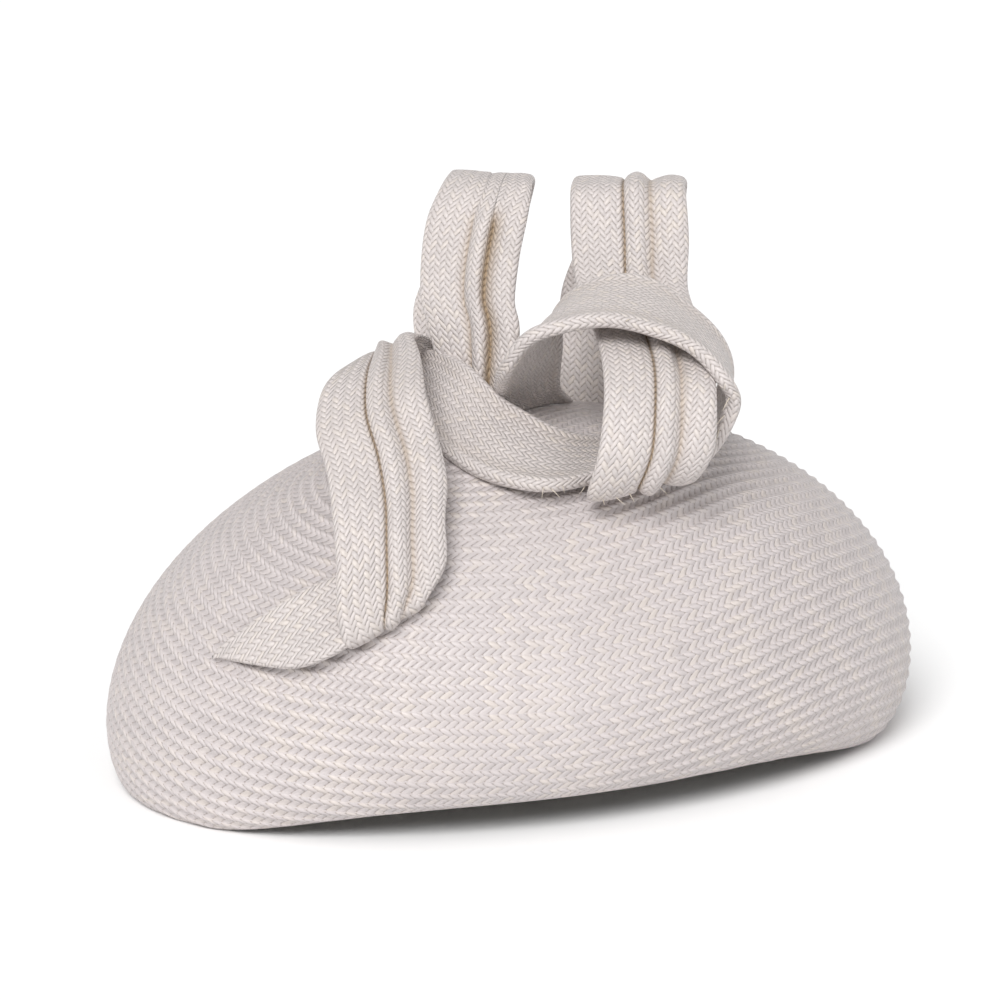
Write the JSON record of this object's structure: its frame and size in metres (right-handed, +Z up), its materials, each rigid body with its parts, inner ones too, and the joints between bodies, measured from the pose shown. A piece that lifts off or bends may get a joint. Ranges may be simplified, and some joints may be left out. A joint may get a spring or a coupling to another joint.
{
  "type": "fascinator headpiece",
  "caption": "Oval blocked straw percher headpiece with folded straw straps sculpted into a knot and upright loops, a lined crown and a hair comb inside the rim.",
  "frame": {"origin": "centre of the bounding box in X and Y, on the surface that the rim stands on", "axes": "+X along the crown's long axis, +Y towards the plain long side, +Z up"},
  "size_m": [0.228, 0.144, 0.1539],
  "materials": {
    "straw": "woven natural straw, soft satin sheen",
    "foundation_cloth": "stiffened matte cotton net",
    "satin": "satin lining",
    "grosgrain": "ribbed matte ribbon",
    "thread": "matte sewing thread",
    "wire": "drawn steel wire",
    "comb_metal": "polished plated wire"
  },
  "bodies": {
    "headpiece": {"crown_straw": "straw", "crown_foundation": "foundation_cloth", "lining": "satin", "rim_binding": "straw", "edge_wire": "wire", "wire_joiner": "wire", "petersham_band": "grosgrain", "label_blank": "satin", "binding_stitches": "thread", "band_stitches": "thread", "lining_stitches": "thread", "drape_root": "straw", "drape_strap": "straw", "ring_strap": "straw", "left_loop": "straw", "right_loop": "straw", "drape_wire": "wire", "ring_wire": "wire", "left_loop_wire": "wire", "right_loop_wire": "wire", "strap_tacks": "thread", "comb_loops": "thread"},
    "comb": {"comb_bar": "comb_metal", "comb_teeth": "comb_metal", "comb_wrap": "comb_metal"}
  },
  "joints": [
    {"name": "comb_swing", "type": "hinge", "parent": "headpiece", "child": "comb", "pos_m": [0, 0.0615, 0.028], "axis": [1, 0, 0], "range_deg": [0, 60]}
  ]
}
